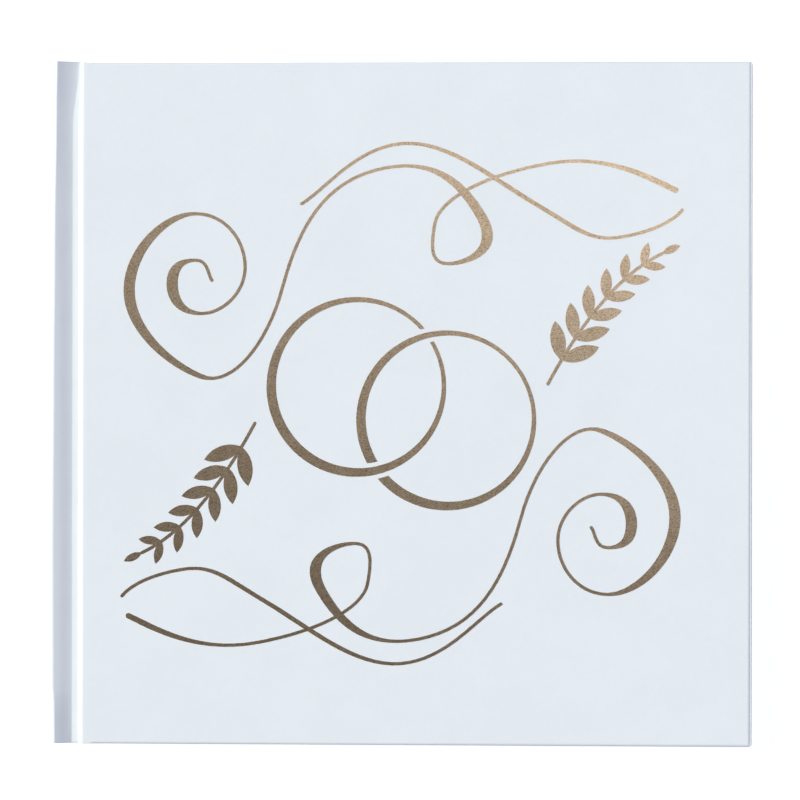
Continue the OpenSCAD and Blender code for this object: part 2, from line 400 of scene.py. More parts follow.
@dataclass(frozen=True)
class Effects:
    """The shared node groups."""

    mottle: EffectGroup
    fibre: EffectGroup
    grain: EffectGroup
    weave: EffectGroup

    @staticmethod
    def build() -> "Effects":
        """Makes each group once.

        Returns:
            The effects.
        """
        return Effects(
            mottle=EffectGroup("Mottle", {"Vector": "Vector", "Scale": "Float", "First": "Color",
                                          "Second": "Color"},
                               {"Colour": "Color", "Mask": "Float"}, wire_mottle),
            fibre=EffectGroup("Paper Fibre", {"Vector": "Vector", "Scale": "Float"},
                              {"Height": "Float"}, wire_fibre),
            grain=EffectGroup("Pebble Grain", {"Vector": "Vector", "Scale": "Float"},
                              {"Height": "Float", "Speckle": "Float"}, wire_grain),
            weave=EffectGroup("Weave", {"Vector": "Vector", "Scale": "Float"},
                              {"Height": "Float", "Gap": "Float"}, wire_weave),
        )


# ---------------------------------------------------------------- finishes


@dataclass(frozen=True)
class Finish:
    """What every finish of the book shares.

    Attributes:
        name: Name of the material.
        slot: The record's material slot.
        first: Lighter of its two colours.
        second: Darker of its two colours; cloth also takes it as the painted shade in the
        gaps of its weave.
        mottle_scale: Size of the colour clouding, per metre.
        roughness: Roughness of the surface.
        bump: How strongly its relief tilts the light.
        relief: Height of its relief.
    """

    name: str
    slot: str
    first: Colour
    second: Colour
    mottle_scale: float = 40.0
    roughness: float = 0.6
    bump: float = 0.2
    relief: float = 0.05 * MM

    def build(self, effects: Effects) -> bpy.types.Material:
        """Makes the material: colour clouding, then whatever relief the finish adds.

        Args:
            effects: The shared effects.

        Returns:
            The finished material.
        """
        material = bpy.data.materials.new(self.name)
        material.use_nodes = True
        material.diffuse_color = rgba(self.first)
        bench = NodeBench(material.node_tree)
        shader = material.node_tree.nodes["Principled BSDF"]
        shader.inputs["Roughness"].default_value = self.roughness
        vector = bench.add("TexCoord").outputs["Object"]
        mottle = effects.mottle.place(bench, {
            "Vector": vector, "Scale": self.mottle_scale,
            "First": rgba(self.first), "Second": rgba(self.second)})
        bench.tree.links.new(mottle.outputs["Colour"], shader.inputs["Base Color"])
        self.dress(bench, effects, shader, vector, mottle)
        return material

    def dress(self, bench: NodeBench, effects: Effects, shader: bpy.types.Node,
              vector: bpy.types.NodeSocket, mottle: bpy.types.Node) -> None:
        """Adds the relief; each kind of finish has its own."""

    def press(self, bench: NodeBench, shader: bpy.types.Node,
              height: bpy.types.NodeSocket) -> None:
        """Feeds a height into the shader's normal."""
        node = bench.add("Bump", {"Height": height, "Strength": self.bump, "Distance": self.relief})
        bench.tree.links.new(node.outputs["Normal"], shader.inputs["Normal"])


@dataclass(frozen=True)
class PaperFinish(Finish):
    """Paper or board: felted fibres, with a sheen if it is laminated.

    Attributes:
        fibre_scale: Size of the fibres, per metre.
        gloss: Strength of the bare paper's own highlight.
        laminate: Weight of the clear laminate over the paper.
        laminate_roughness: Roughness of that laminate.
    """

    fibre_scale: float = 1400.0
    gloss: float = 0.12
    laminate: float = 0.0
    laminate_roughness: float = 0.45

    def dress(self, bench: NodeBench, effects: Effects, shader: bpy.types.Node,
              vector: bpy.types.NodeSocket, mottle: bpy.types.Node) -> None:
        """Adds fibres, and the laminate's own even gloss.

        Args:
            bench: Bench on the material's tree.
            effects: The shared effects.
            shader: The material's shader.
            vector: Object coordinates.
            mottle: The node that clouds the colour.
        """
        fibre = effects.fibre.place(bench, {"Vector": vector, "Scale": self.fibre_scale})
        self.press(bench, shader, fibre.outputs["Height"])
        shader.inputs["Specular IOR Level"].default_value = self.gloss
        if self.laminate:
            shader.inputs["Coat Weight"].default_value = self.laminate
            shader.inputs["Coat Roughness"].default_value = self.laminate_roughness


@dataclass(frozen=True)
class FoilFinish(Finish):
    """Hot-stamped metal foil that shows the pebbled grain of its press.

    Attributes:
        grain_scale: Size of the grain, per metre.
        roughness_range: How much rougher the tops of the grain are than its bottoms.
        pit_shade_reach: How high up the grain the painted shade in its pits reaches, from 0 to 1.
        pit_shade_strength: How strongly that painted shade darkens.
        pit_shade_colour: Colour of that painted shade.
        pit_shade_colour: Colour that they darken towards.
    """

    grain_scale: float = 2400.0
    roughness_range: float = 0.015
    pit_shade_reach: float = 0.6
    pit_shade_strength: float = 0.9
    pit_shade_colour: Colour = (0.24, 0.17, 0.11)

    def dress(self, bench: NodeBench, effects: Effects, shader: bpy.types.Node,
              vector: bpy.types.NodeSocket, mottle: bpy.types.Node) -> None:
        """Adds metal, grain, a roughness that follows the speckle, and painted shade in the
        grain's pits.

        Args:
            bench: Bench on the material's tree.
            effects: The shared effects.
            shader: The material's shader.
            vector: Object coordinates.
            mottle: The node that clouds the colour.
        """
        grain = effects.grain.place(bench, {"Vector": vector, "Scale": self.grain_scale})
        shader.inputs["Metallic"].default_value = 1.0
        rough = bench.spread(grain.outputs["Speckle"], 0.0, 1.0,
                             self.roughness, self.roughness + self.roughness_range)
        bench.tree.links.new(rough, shader.inputs["Roughness"])
        # Painted shade: the bottoms of the grain are darkened towards a dark brown
        painted_pit_shade = bench.spread(grain.outputs["Speckle"], 0.0, self.pit_shade_reach, self.pit_shade_strength, 0.0)
        shaded_foil_colour = bench.blend_colours(painted_pit_shade, mottle.outputs["Colour"], rgba(self.pit_shade_colour))
        bench.tree.links.new(shaded_foil_colour, shader.inputs["Base Color"])
        self.press(bench, shader, grain.outputs["Height"])


@dataclass(frozen=True)
class ClothFinish(Finish):
    """Woven cloth or wound thread.

    Attributes:
        weave_scale: Size of the weave, per metre.
        sheen: Weight of the soft sheen of its fibres.
    """

    weave_scale: float = 300.0
    sheen: float = 0.3

    def dress(self, bench: NodeBench, effects: Effects, shader: bpy.types.Node,
              vector: bpy.types.NodeSocket, mottle: bpy.types.Node) -> None:
        """Adds the weave, with painted shade in its gaps, and a soft sheen.

        Args:
            bench: Bench on the material's tree.
            effects: The shared effects.
            shader: The material's shader.
            vector: Object coordinates.
            mottle: The node that clouds the colour.
        """
        weave = effects.weave.place(bench, {"Vector": vector, "Scale": self.weave_scale})
        shader.inputs["Sheen Weight"].default_value = self.sheen
        # Painted shade: the gaps of the weave take the darker colour
        shade = bench.blend_colours(weave.outputs["Gap"], rgba(self.second),
                                    mottle.outputs["Colour"])
        bench.tree.links.new(shade, shader.inputs["Base Color"])
        self.press(bench, shader, weave.outputs["Height"])


COVER_PAPER = PaperFinish("cover_paper_laminated", "cover_paper", (0.755, 0.795, 0.82),
                          (0.735, 0.775, 0.80), mottle_scale=55.0, roughness=0.6, bump=0.16,
                          relief=0.06 * MM, fibre_scale=520.0, laminate=0.06)
GOLD_FOIL = FoilFinish("champagne_foil", "gold_foil", (0.77, 0.61, 0.43), (0.66, 0.50, 0.34),
                       mottle_scale=260.0, roughness=0.275, bump=0.2, relief=0.03 * MM)
GREY_BOARD = PaperFinish("grey_board", "grey_board", (0.42, 0.40, 0.37), (0.33, 0.31, 0.28),
                         mottle_scale=420.0, roughness=0.85, bump=0.5, relief=0.12 * MM,
                         fibre_scale=900.0)
ENDPAPER = PaperFinish("endpaper_white", "endpaper", (0.76, 0.765, 0.755), (0.745, 0.75, 0.74),
                       mottle_scale=90.0, roughness=0.7, bump=0.2, relief=0.04 * MM)
PAGE_PAPER = PaperFinish("page_warm_white", "page_paper", (0.75, 0.73, 0.68), (0.73, 0.71, 0.66),
                         mottle_scale=110.0, roughness=0.75, bump=0.25, relief=0.04 * MM)
KRAFT_PAPER = PaperFinish("kraft_lining", "kraft_paper", (0.42, 0.29, 0.17), (0.34, 0.23, 0.13),
                          mottle_scale=300.0, roughness=0.8, bump=0.4, relief=0.08 * MM)
# The cloths' darker colours also serve as the painted shade in the gaps of their weave
MULL_CLOTH = ClothFinish("mull_weave", "mull_cloth", (0.78, 0.75, 0.68), (0.45, 0.42, 0.36),
                         mottle_scale=500.0, roughness=0.9, bump=0.8, relief=0.15 * MM,
                         weave_scale=420.0)
LINEN_THREAD = ClothFinish("waxed_linen", "linen_thread", (0.85, 0.83, 0.78), (0.6, 0.57, 0.5),
                           mottle_scale=900.0, roughness=0.6, bump=0.7, relief=0.06 * MM,
                           weave_scale=900.0)
BAND_CLOTH = ClothFinish("headband_silk", "band_cloth", (0.86, 0.87, 0.88), (0.62, 0.64, 0.68),
                         mottle_scale=700.0, roughness=0.5, bump=0.5, relief=0.08 * MM,
                         weave_scale=640.0, sheen=0.5)
FLOOR_PAPER = PaperFinish("studio_floor", "", (0.4, 0.4, 0.4), (0.39, 0.39, 0.39),
                          mottle_scale=6.0, roughness=0.9, bump=0.05, relief=0.1 * MM,
                          fibre_scale=300.0)


@dataclass(frozen=True)
class Wardrobe:
    """Every finish's material, ready to put on."""

    materials: dict[str, bpy.types.Material]

    @staticmethod
    def build(effects: Effects) -> "Wardrobe":
        """Makes the materials.

        Args:
            effects: The shared effects.

        Returns:
            The wardrobe.
        """
        finishes = (COVER_PAPER, GOLD_FOIL, GREY_BOARD, ENDPAPER, PAGE_PAPER, KRAFT_PAPER,
                    MULL_CLOTH, LINEN_THREAD, BAND_CLOTH, FLOOR_PAPER)
        return Wardrobe({finish.name: finish.build(effects) for finish in finishes})

    def dress(self, piece: bpy.types.Object, finish: Finish) -> None:
        """Puts a finish on a piece, in place of whatever it wears."""
        piece.data.materials.clear()
        piece.data.materials.append(self.materials[finish.name])


# ---------------------------------------------------------------- mesh helpers


def fillet_path(corners: Sequence[tuple[float, float, float]], steps: int = 6) -> list[Vector]:
    """Outline through corners, each rounded off by its own radius.

    Args:
        corners: Points (x, z, radius) in order; the first and last are ends and stay sharp.
        steps: Straight pieces in each rounded corner.

    Returns:
        Points of the rounded outline, as 2-D vectors.
    """
    points = [Vector(corners[0][:2])]
    for before, here, after in zip(corners, corners[1:], corners[2:]):
        corner = Vector(here[:2])
        back = (Vector(before[:2]) - corner).normalized()
        on = (Vector(after[:2]) - corner).normalized()
        half = back.angle(on) / 2
        if here[2] <= 0 or half > math.radians(89.5):
            points.append(corner)
            continue
        centre = corner + (back + on).normalized() * (here[2] / math.sin(half))
        start = corner + back * (here[2] / math.tan(half)) - centre
        sweep = (corner + on * (here[2] / math.tan(half)) - centre).angle_signed(start)
        for step in range(steps + 1):
            turn = Matrix.Rotation(sweep * step / steps, 2)
            points.append(centre + turn @ start)
    points.append(Vector(corners[-1][:2]))
    return points


def stations(half: float, extra: Iterable[float] = (), count: int = 12) -> list[float]:
    """Even cuts along Y from -half to half, with the extra ones and their mirror images.

    Args:
        half: Half the length to cut.
        extra: Further places to cut at.
        count: Even steps along the whole length.

    Returns:
        Every cut in order, from tail to head.
    """
    even = [-half + 2 * half * i / count for i in range(count + 1)]
    more = [sign * value for value in extra for sign in (-1, 1)]
    kept: list[float] = []
    for value in sorted(even + more):
        if not kept or value - kept[-1] > CLOSEST_CUTS:
            kept.append(value)
    return kept


def swept_sheet(path: Sequence[Vector], cuts: Sequence[float], thickness: float) -> bmesh.types.BMesh:
    """Thin sheet: a line in X and Z pulled along Y, then given its thickness downwards.

    Args:
        path: Points of the line, as 2-D vectors.
        cuts: Y of each cut, from tail to head.
        thickness: Thickness of the sheet.

    Returns:
        A closed mesh.
    """
    mesh = bmesh.new()
    row = [mesh.verts.new((point.x, cuts[0], point.y)) for point in path]
    edges = [mesh.edges.new(pair) for pair in zip(row, row[1:])]
    for start, stop in zip(cuts, cuts[1:]):
        made = bmesh.ops.extrude_edge_only(mesh, edges=edges)["geom"]
        moved = {item for item in made if isinstance(item, bmesh.types.BMVert)}
        bmesh.ops.translate(mesh, vec=(0, stop - start, 0), verts=list(moved))
        edges = [item for item in made if isinstance(item, bmesh.types.BMEdge)
                 and all(vert in moved for vert in item.verts)]
    bmesh.ops.recalc_face_normals(mesh, faces=mesh.faces[:])
    if sum(face.normal.z * face.calc_area() for face in mesh.faces) < 0:
        bmesh.ops.reverse_faces(mesh, faces=mesh.faces[:])
    bmesh.ops.solidify(mesh, geom=mesh.faces[:], thickness=thickness)
    bmesh.ops.recalc_face_normals(mesh, faces=mesh.faces[:])
    return mesh


def prism(outline: Sequence[Vector], cuts: Sequence[float]) -> bmesh.types.BMesh:
    """Closed solid: an outline in X and Z pulled along Y through every cut.

    Args:
        outline: Points of the outline, as 2-D vectors.
        cuts: Y of each cut, from tail to head.

    Returns:
        A closed mesh.
    """
    mesh = bmesh.new()
    cap = mesh.faces.new([mesh.verts.new((point.x, cuts[0], point.y)) for point in outline])
    first = cap
    for start, stop in zip(cuts, cuts[1:]):
        made = bmesh.ops.extrude_face_region(mesh, geom=[cap])["geom"]
        moved = [item for item in made if isinstance(item, bmesh.types.BMVert)]
        bmesh.ops.translate(mesh, vec=(0, stop - start, 0), verts=moved)
        faces = [item for item in made if isinstance(item, bmesh.types.BMFace)]
        if cap is not first:
            bmesh.ops.delete(mesh, geom=[cap], context="FACES_ONLY")
        cap = faces[0]
    bmesh.ops.recalc_face_normals(mesh, faces=mesh.faces[:])
    return mesh


def block(low: Sequence[float], high: Sequence[float]) -> bmesh.types.BMesh:
    """Box between two corners.

    Args:
        low: Its lowest corner.
        high: Its highest corner.

    Returns:
        A closed mesh.
    """
    mesh = bmesh.new()
    size = Vector(high) - Vector(low)
    place = Matrix.Translation((Vector(high) + Vector(low)) / 2) @ Matrix.Diagonal((*size, 1))
    bmesh.ops.create_cube(mesh, size=1.0, matrix=place)
    return mesh


def join_into(mesh: bmesh.types.BMesh, other: bmesh.types.BMesh) -> None:
    """Adds the other mesh to the first one, and frees it.

    Args:
        mesh: The mesh that grows.
        other: The mesh that goes into it.
    """
    carrier = bpy.data.meshes.new("carrier")
    other.to_mesh(carrier)
    other.free()
    mesh.from_mesh(carrier)
    bpy.data.meshes.remove(carrier)


def soften(mesh: bmesh.types.BMesh, edges: Iterable[bmesh.types.BMEdge], radius: float,
           segments: int = 3) -> None:
    """Rounds the given edges."""
    bmesh.ops.bevel(mesh, geom=list(edges), offset=radius, offset_type="OFFSET", affect="EDGES",
                    segments=segments, profile=0.5, material=-1, clamp_overlap=True)


def to_piece(name: str, mesh: bmesh.types.BMesh, sharp_degrees: float = 40.0) -> bpy.types.Object:
    """Turns a finished bmesh into a piece at the origin, smooth but for its sharp edges.

    Args:
        name: The piece's name.
        mesh: Its mesh, which is freed.
        sharp_degrees: Angle between two faces from which their edge stays sharp.

    Returns:
        The piece.
    """
    for face in mesh.faces:
        face.smooth = True
    data = bpy.data.meshes.new(name)
    mesh.to_mesh(data)
    mesh.free()
    data.set_sharp_from_angle(angle=math.radians(sharp_degrees))
    piece = bpy.data.objects.new(name, data)
    bpy.context.scene.collection.objects.link(piece)
    return piece


# ---------------------------------------------------------------- covers


@dataclass
class Cover:
    """One cover: its wrapped board, its joint strip and the endpaper glued inside it.

    Attributes:
        side: Which cover it is.
        sizes: The book's sizes.
        wardrobe: The materials.
        edge_r: Rounding of the paper where it folds over the board.
        fore_r: Rounding of the paper at the fore-edge, which is handled most.
        groove_depth: Depth of the joint groove.
        head_shift: How far the groove moves off the spine at the head, over the turn-in.
        head_reach: How far the joint's paper stands past the board at the head.
        end_rise: How much the turn-ins thicken the ridge of the spine at its ends.
        head_rise: How much more they do so at the head.
        ridge_u: Where the joint's slope starts, from the outer face of the spine.
        groove_u: Where the slope meets the groove.
        wall_u: Where the groove meets the board's near edge.
        wall_top_u: Where the paper comes up onto the board.
        cover_over: How far the joint's paper lies over the paper on the board.
        tuck_u: Where it ends, tucked under the paper on the board.
        groove_fall: How much the floor of the groove falls towards the board.
        sink: How far the pastedown sinks inside the turn-ins.
    """

    side: Side
    sizes: BookSizes
    wardrobe: Wardrobe
    edge_r: float = 0.75 * MM
    fore_r: float = 1.25 * MM
    groove_depth: float = 2.23 * MM
    head_shift: float = 1.9 * MM
    head_reach: float = 0.45 * MM
    end_rise: float = 0.38 * MM
    head_rise: float = 0.25 * MM
    ridge_u: float = 0.95 * MM
    groove_u: float = 5.6 * MM
    wall_u: float = 7.6 * MM
    wall_top_u: float = 8.85 * MM
    cover_over: float = 0.004 * MM
    tuck_u: float = 12.0 * MM
    groove_fall: float = 0.18 * MM
    sink: float = 0.17 * MM

    @property
    def body(self) -> str:
        """The CAD body that the cover rides on."""
        return f"{self.side.value}_cover"

    def spine_blend(self, piece: bpy.types.Object, start_x: float, end_x: float) -> None:
        """Bakes a piece's placement into its mesh, without bending it.

        Args:
            piece: The piece.
            start_x: Where it would leave the spine; not used.
            end_x: Where it would have joined the cover; not used.
        """
        z = self.sizes.height(self.side, 0.0)
        if self.side is Side.FRONT:
            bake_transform(piece)
        else:
            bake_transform(piece)

    def build(self) -> None:
        """Builds the cover's pieces."""
        wrap = self.wrapped_board()
        joint = self.joint_strip()
        paste = self.pastedown()
        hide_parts(f"{self.side.value}_cover_paper")
        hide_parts(f"{self.side.value}_pastedown")
        for piece, finish in ((wrap, COVER_PAPER), (joint, COVER_PAPER), (paste, ENDPAPER)):
            self.wardrobe.dress(piece, finish)
            log.info("built %s", piece.name)
        self.wardrobe.dress(frame["nodes"][f"{self.side.value}_board"], GREY_BOARD)

    def wrapped_board(self) -> bpy.types.Object:
        """Covering paper round the board: soft edges outside, a hollow that holds the board.

        Returns:
            The piece.
        """
        s = self.sizes
        z0, z1 = sorted((s.height(self.side, 0.0), s.height(self.side, s.wrap_t)))
        near_x = s.board_x + 0.4 * MM
        beyond_x = near_x + 1 * MM
        mesh = block((near_x, -s.half_y, z0), (s.fore_x, s.half_y, z1))
        outer_z = s.height(self.side, 0.0)
        fore = [edge for edge in mesh.edges
                if all(vert.co.x > beyond_x and abs(vert.co.z - outer_z) < TOUCH
                       for vert in edge.verts)]
        soften(mesh, fore, self.fore_r, segments=6)
        rest = [edge for edge in mesh.edges
                if any(vert.co.x > beyond_x for vert in edge.verts)
                and edge.calc_face_angle(0.0) > math.radians(60)]
        soften(mesh, rest, self.edge_r, segments=4)
        # A narrow frame round each broad face keeps its shading flat
        broad = [face for face in mesh.faces if face.calc_area() > (10 * MM) ** 2]
        bmesh.ops.inset_individual(mesh, faces=broad, thickness=self.edge_r / 4,
                                   use_even_offset=True)
        low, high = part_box(f"{self.side.value}_board")
        room = Vector((0.02, 0.02, 0.02)) * MM
        low = Vector((s.board_x + 0.8 * MM, low.y, low.z))
        hollow = block(low - room, high + room)
        bmesh.ops.reverse_faces(hollow, faces=hollow.faces[:])
        join_into(mesh, hollow)
        piece = to_piece(f"{self.side.value}_cover_wrap", mesh)
        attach(piece, self.body)
        return piece

    def joint_strip(self) -> bpy.types.Object:
        """Covering paper from the middle of the spine over the groove to the board.

        Returns:
            The piece.
        """
        s = self.sizes
        t = s.paper_t
        middle = s.top_z / 2
        top = -self.cover_over
        ridge_u, groove_u, wall_u, tuck_u = self.ridge_u, self.groove_u, self.wall_u, self.tuck_u
        floor_d = self.groove_depth
        near_d = floor_d - self.groove_fall
        slope = [(ridge_u + (groove_u - ridge_u) * k / 7, near_d * k / 7, 0.0)
                 for k in range(2, 7)]
        # Outer face from the spine to the board, then back along the inner face
        corners = [
            (0.0, middle, 0.0), (0.0, 0.45 * MM, 0.4 * MM), (ridge_u, 0.0, 0.5 * MM), *slope,
            (groove_u, near_d, 0.5 * MM), (wall_u, floor_d, 0.3 * MM),
            (self.wall_top_u, top, 0.8 * MM), (tuck_u - 0.8 * MM, top, 0.0),
            (tuck_u, 0.03 * MM, 0.0), (tuck_u, s.wrap_t - 0.05 * MM, 0.0),
            (wall_u, floor_d + t, 0.3 * MM), (5.5 * MM, floor_d + t, 1.2 * MM),
            (0.9 * MM, t * 1.4, 0.4 * MM), (t, 0.7 * MM, 0.2 * MM), (t, middle, 0.0)]
        outline = [Vector((s.at(p.x), s.height(self.side, p.y))) for p in fillet_path(corners)]
        zone = s.half_y - s.turn_in
        cuts = stations(s.half_y, (zone - 1 * MM, zone - 0.4 * MM, zone + 0.4 * MM, zone + 1 * MM,
                                   s.half_y - 9 * MM, s.half_y - 5 * MM, s.half_y - 2 * MM,
                                   s.half_y - 0.6 * MM), count=24)
        mesh = prism(outline, cuts)
        for vert in mesh.verts:
            self.settle(vert)
        ends = [edge for edge in mesh.edges
                if all(abs(abs(vert.co.y) - s.half_y) < TOUCH for vert in edge.verts)]
        soften(mesh, ends, 0.1 * MM, segments=2)
        piece = to_piece(f"{self.side.value}_joint_paper", mesh, sharp_degrees=55)
        self.spine_blend(piece, s.at(0.9 * MM), s.at(groove_u))
        return piece

    def settle(self, vert: bmesh.types.BMVert) -> None:
        """Moves one point of the joint strip to where worked paper lies.

        Args:
            vert: The point to move.
        """
        s = self.sizes
        u, y = vert.co.x - s.spine_x, vert.co.y
        spine_corner = 1 - ramp(u, 0.3 * MM, 2.7 * MM)
        vert.co.x -= spine_corner * (0.04 * MM + s.spine_swell(y))
        to_head = ramp(y, s.half_y - 19 * MM, s.half_y - 1 * MM)
        down = min(max((u - self.ridge_u) / (self.groove_u - self.ridge_u), 0.0), 1.0)
        in_groove = down * (1 - ramp(u, 6 * MM, 9 * MM))
        vert.co.x += self.head_shift * to_head * in_groove
        zone_start = s.half_y - s.turn_in - 2 * MM
        zone = ramp(abs(y), zone_start, zone_start + (12 * MM if y > 0 else 4 * MM))
        upright = 1 - ramp(abs(vert.co.z - s.height(self.side, 0.0)), 2.6 * MM, 3.6 * MM)
        # The back cover's ridge stays flat, because the book lies on it
        if self.side is Side.FRONT:
            rise = self.end_rise + self.head_rise * to_head
            vert.co.z += rise * zone * (1 - down) * upright
        if y > 0:
            near = 1 - ramp(u, 7.5 * MM, 10.5 * MM)
            vert.co.y += self.head_reach * near * s.head_ramp(y)

    def pastedown(self) -> bpy.types.Object:
        """Half of the endpaper: over the joint, then down onto the board inside the turn-ins.

        Returns:
            The piece.
        """
        s = self.sizes
        t = s.cover_t - s.wrap_t
        inner = s.cover_t - t
        start_u, board_u = 2.2 * MM, s.board_x - s.spine_x
        page_u = s.page_x - s.spine_x
        path = [Vector((s.at(start_u), s.height(self.side, s.cover_t + 0.02 * MM)))]
        path += [Vector((s.at(start_u + (board_u - start_u) * i / 10), s.height(self.side, inner)))
                 for i in range(1, 11)]
        rim = page_u - (s.fore_x - s.spine_x - s.turn_in)
        marks = [board_u + 1 * MM, board_u + 2 * MM, board_u + 3 * MM]
        marks += [board_u + (page_u - board_u) * i / 8 for i in range(1, 8)]
        marks += [page_u - rim - 1 * MM, page_u - rim, page_u - rim + 1 * MM, page_u]
        path += [Vector((s.at(u), s.height(self.side, inner))) for u in sorted(marks)]
        zone = s.half_y - s.turn_in
        cuts = stations(s.page_half_y, (zone - 1 * MM, zone, zone + 1 * MM), count=10)
        mesh = swept_sheet(path, cuts, t)
        rim_x = s.fore_x - s.turn_in
        for vert in mesh.verts:
            inside_x = ramp(vert.co.x, s.board_x + 1 * MM, s.board_x + 3 * MM)
            inside_x *= 1 - ramp(vert.co.x, rim_x - 1 * MM, rim_x + 1 * MM)
            dip = self.sink * inside_x * (1 - s.end_zone(vert.co.y))
            if self.side is Side.FRONT:
                vert.co.z += dip
            else:
                vert.co.z += t - dip
        piece = to_piece(f"{self.side.value}_endpaper_pastedown", mesh)
        self.spine_blend(piece, s.at(start_u), s.at(9.0 * MM))
        return piece


# ---------------------------------------------------------------- spine


@dataclass
class Spine:
    """The spine's card and the paper turned in over its ends, swelling like the case.

    Attributes:
        sizes: The book's sizes.
        wardrobe: The materials.
        head_reach: How far both stand past the boards at the head.
    """

    sizes: BookSizes
    wardrobe: Wardrobe
    head_reach: float = 0.3 * MM

    def build(self) -> None:
        """Builds both pieces, dresses them and hides the nodes that they stand for."""
        for node, name, finish in (("spine_paper", "spine_wrap", COVER_PAPER),
                                   ("spine_inlay", "spine_card", GREY_BOARD)):
            piece = self.swollen(node, name)
            self.wardrobe.dress(piece, finish)
            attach(piece, "spine")
            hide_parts(node)
            log.info("built %s", piece.name)

    def swollen(self, node: str, name: str) -> bpy.types.Object:
        """The node's solid, cut across at even places and moved out with the case.

        Args:
            node: The CAD node.
            name: The new piece's name.

        Returns:
            The piece.
        """
        s = self.sizes
        mesh = bmesh.new()
        mesh.from_mesh(frame["nodes"][node].data)
        bmesh.ops.remove_doubles(mesh, verts=mesh.verts[:], dist=TOUCH)
        bmesh.ops.dissolve_limit(mesh, angle_limit=math.radians(1), verts=mesh.verts[:],
                                 edges=mesh.edges[:])
        for y in stations(s.half_y, count=24)[1:-1]:
            bmesh.ops.bisect_plane(mesh, geom=mesh.verts[:] + mesh.edges[:] + mesh.faces[:],
                                   plane_co=(0, y, 0), plane_no=(0, 1, 0))
        for vert in mesh.verts:
            vert.co.x -= s.spine_swell(vert.co.y)
            if vert.co.y > 0:
                vert.co.y += self.head_reach * s.head_ramp(vert.co.y)
        return to_piece(name, mesh)


# ---------------------------------------------------------------- foil ornament


@dataclass
class FoilOrnament:
    """The stamped ornament: rings, pen flourishes and leafy sprigs in gold foil."""

    wardrobe: Wardrobe
    sunk: float = 0.02 * MM

    def build(self) -> None:
        """Builds one piece for each foil node."""
        for node in ("foil_rings", "foil_flourishes", "foil_sprigs"):
            piece = self.stamped(node)
            self.wardrobe.dress(piece, GOLD_FOIL)
            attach(piece, "front_cover")
            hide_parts(node)
            log.info("built %s", piece.name)

    def stamped(self, node: str) -> bpy.types.Object:
        """Top faces of the node, joined up and given depth again, down into the paper.

        Args:
            node: The foil's CAD node.

        Returns:
            The piece.
        """
        low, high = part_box(node)
        mesh = bmesh.new()
        mesh.from_mesh(frame["nodes"][node].data)
        bmesh.ops.remove_doubles(mesh, verts=mesh.verts[:], dist=TOUCH)
        others = [face for face in mesh.faces
                  if face.normal.z < 0.9 or face.calc_center_median().z < (low.z + high.z) / 2]
        bmesh.ops.delete(mesh, geom=others, context="FACES")
        bmesh.ops.remove_doubles(mesh, verts=mesh.verts[:], dist=2 * TOUCH)
        bmesh.ops.dissolve_limit(mesh, angle_limit=math.radians(1), verts=mesh.verts[:],
                                 edges=mesh.edges[:])
        made = bmesh.ops.extrude_face_region(mesh, geom=mesh.faces[:])["geom"]
        lower = [item for item in made if isinstance(item, bmesh.types.BMVert)]
        bmesh.ops.translate(mesh, vec=(0, 0, low.z - high.z - self.sunk), verts=lower)
        bmesh.ops.recalc_face_normals(mesh, faces=mesh.faces[:])
        return to_piece(node + "_stamped", mesh, sharp_degrees=30)


# ---------------------------------------------------------------- block


@dataclass(frozen=True)
class Sheet:
    """One leaf of the block.

    Attributes:
        node: Its CAD node, and the name of its piece after "sheet_".
        body: The CAD body that it turns with in the frame; not used.
        finish: The paper that it is made of.
    """

    node: str
    body: str
    finish: Finish


